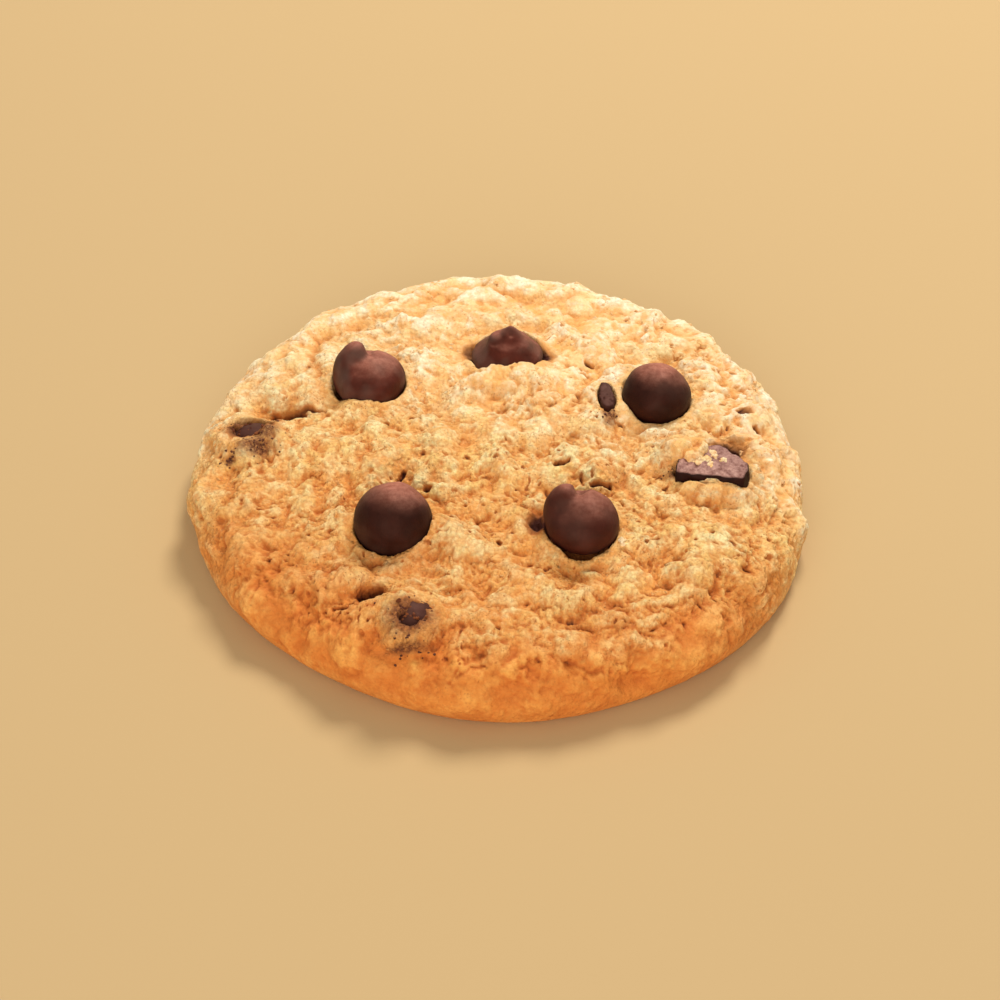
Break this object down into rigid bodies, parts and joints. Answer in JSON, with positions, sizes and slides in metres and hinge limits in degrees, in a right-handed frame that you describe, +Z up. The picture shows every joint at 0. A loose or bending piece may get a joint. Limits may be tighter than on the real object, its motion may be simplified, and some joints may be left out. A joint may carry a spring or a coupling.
{
  "type": "chocolate chip cookie",
  "caption": "Round baked biscuit of pale vanilla dough with dark chocolate chips and broken pieces set in its top; food that lies flat on its underside.",
  "frame": {"origin": "on the table under the middle of the cookie", "axes": "+Z up out of the chip side, +X to the right and -Y towards the front rim"},
  "size_m": [0.0758, 0.077, 0.0158],
  "materials": {
    "baked_dough": "dry crumbly baked dough, cream on top and golden orange at the rim",
    "chocolate": "dark chocolate with a soft satin sheen",
    "bloomed_chocolate": "broken chocolate with a dull grey-purple bloom"
  },
  "bodies": {
    "root": {"dough": "baked_dough", "chip_back_left": "chocolate", "chip_back": "chocolate", "chip_back_right": "chocolate", "chip_front_left": "chocolate", "chip_front_right": "chocolate", "chip_buried_left": "chocolate", "chip_buried_front": "chocolate", "chunk_right": "bloomed_chocolate", "splinter": "chocolate"}
  },
  "joints": []
}
